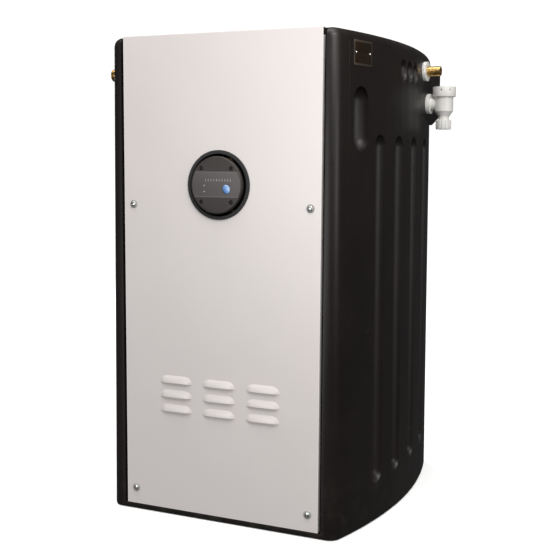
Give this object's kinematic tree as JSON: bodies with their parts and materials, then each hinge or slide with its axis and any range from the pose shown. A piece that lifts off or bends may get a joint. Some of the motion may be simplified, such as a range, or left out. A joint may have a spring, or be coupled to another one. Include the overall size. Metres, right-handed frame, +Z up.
{
  "type": "break tank booster set",
  "caption": "Floor-standing water booster: moulded break tank with a sheet-covered pump bay, pressure controller, float valve inlet and screened overflow",
  "frame": {"origin": "middle of the tank's base, on the floor", "axes": "+X to the right seen from the front, +Y to the back, +Z up"},
  "size_m": [0.6539, 0.6424, 1],
  "materials": {
    "tank_plastic": "fine moulded grain",
    "cover_sheet": "satin powder coat",
    "steel": "brushed stainless",
    "washer_plastic": "moulded",
    "black_rubber": "dull rubber",
    "plate_metal": "printed foil, bare",
    "black_plastic": "moulded",
    "face_plastic": "satin moulding",
    "overlay": "printed film",
    "blue_plastic": "moulded",
    "lamp_glass": "clear light pipes",
    "white_plastic": "moulded",
    "brass": "machined",
    "castings": "painted casting",
    "impeller_metal": "pressed and welded",
    "copper": "drawn copper",
    "rotor_metal": "machined laminations",
    "red_paint": "dipped coating"
  },
  "bodies": {
    "tank_set": {"tank": "tank_plastic", "tank_lid": "tank_plastic", "lid_screws": "steel", "front_cover": "cover_sheet", "cover_screws": "steel", "cover_washers": "washer_plastic", "window_grommet": "black_rubber", "rating_plate": "plate_metal", "plate_rivets": "steel", "controller_body": "black_plastic", "controller_face": "face_plastic", "controller_screws": "black_plastic", "display_overlay": "overlay", "indicator_lights": "lamp_glass", "union_nuts": "brass", "float_valve_body": "brass", "float_valve_nuts": "white_plastic", "arm_pin": "steel", "overflow_tee": "white_plastic", "overflow_cap": "white_plastic", "overflow_screen": "steel", "overflow_nut": "white_plastic", "bulkhead_nuts": "black_plastic", "pump_feet": "black_rubber", "pump_base": "steel", "discharge_housing": "castings", "pump_sleeve": "steel", "suction_cover": "castings", "stay_bolts": "steel", "stage_chambers": "steel", "seal_seat": "white_plastic", "pump_plugs": "brass", "motor_housing": "castings", "motor_end_shield": "castings", "stator": "copper", "bearing_outer_rings": "steel", "fan_cover": "black_plastic", "terminal_box": "black_plastic", "terminal_box_lid": "black_plastic", "cable_glands": "black_rubber", "pump_cable": "black_rubber", "riser_pipe": "copper", "outlet_pipe": "copper", "outlet_tail": "brass", "suction_elbow": "black_plastic", "isolating_valve": "brass", "tank_outlet": "brass"},
    "pump_rotor": {"pump_shaft": "steel", "impellers": "impeller_metal", "rotor": "rotor_metal", "fan": "black_plastic", "seal_head": "black_rubber", "bearing_inner_rings": "steel"},
    "reset_button": {"reset_button": "blue_plastic"},
    "check_poppet": {"check_poppet": "white_plastic"},
    "float": {"float_arm": "brass", "float_ball": "blue_plastic"},
    "valve_piston": {"valve_piston": "white_plastic"},
    "isolating_lever": {"valve_ball": "steel", "valve_lever": "red_paint"}
  },
  "joints": [
    {"name": "pump_spin", "type": "hinge", "parent": "tank_set", "child": "pump_rotor", "pos_m": [0, -0.235, 0.133], "axis": [1, 0, 0], "continuous": true},
    {"name": "reset_press", "type": "slide", "parent": "tank_set", "child": "reset_button", "axis": [0, 1, 0], "range_m": [0, 0.001], "stiffness_N_per_m": 800, "springref_m": -0.001},
    {"name": "check_lift", "type": "slide", "parent": "tank_set", "child": "check_poppet", "axis": [0, 0, 1], "range_m": [0, 0.008], "stiffness_N_per_m": 20, "springref_m": -0.005},
    {"name": "float_swing", "type": "hinge", "parent": "tank_set", "child": "float", "pos_m": [0.19867, 0.131, 0.941], "axis": [0, 1, 0], "range_deg": [0, 32]},
    {"name": "piston_slide", "type": "slide", "parent": "tank_set", "child": "valve_piston", "axis": [1, 0, 0], "range_m": [0, 0.0044]},
    {"name": "lever_turn", "type": "hinge", "parent": "tank_set", "child": "isolating_lever", "pos_m": [0.158, -0.151, 0.133], "axis": [0, 0, 1], "range_deg": [0, 90]}
  ],
  "couplings": [
    {"joint": "piston_slide", "follows": "float_swing", "m_per_rad": 0.0078782}
  ]
}
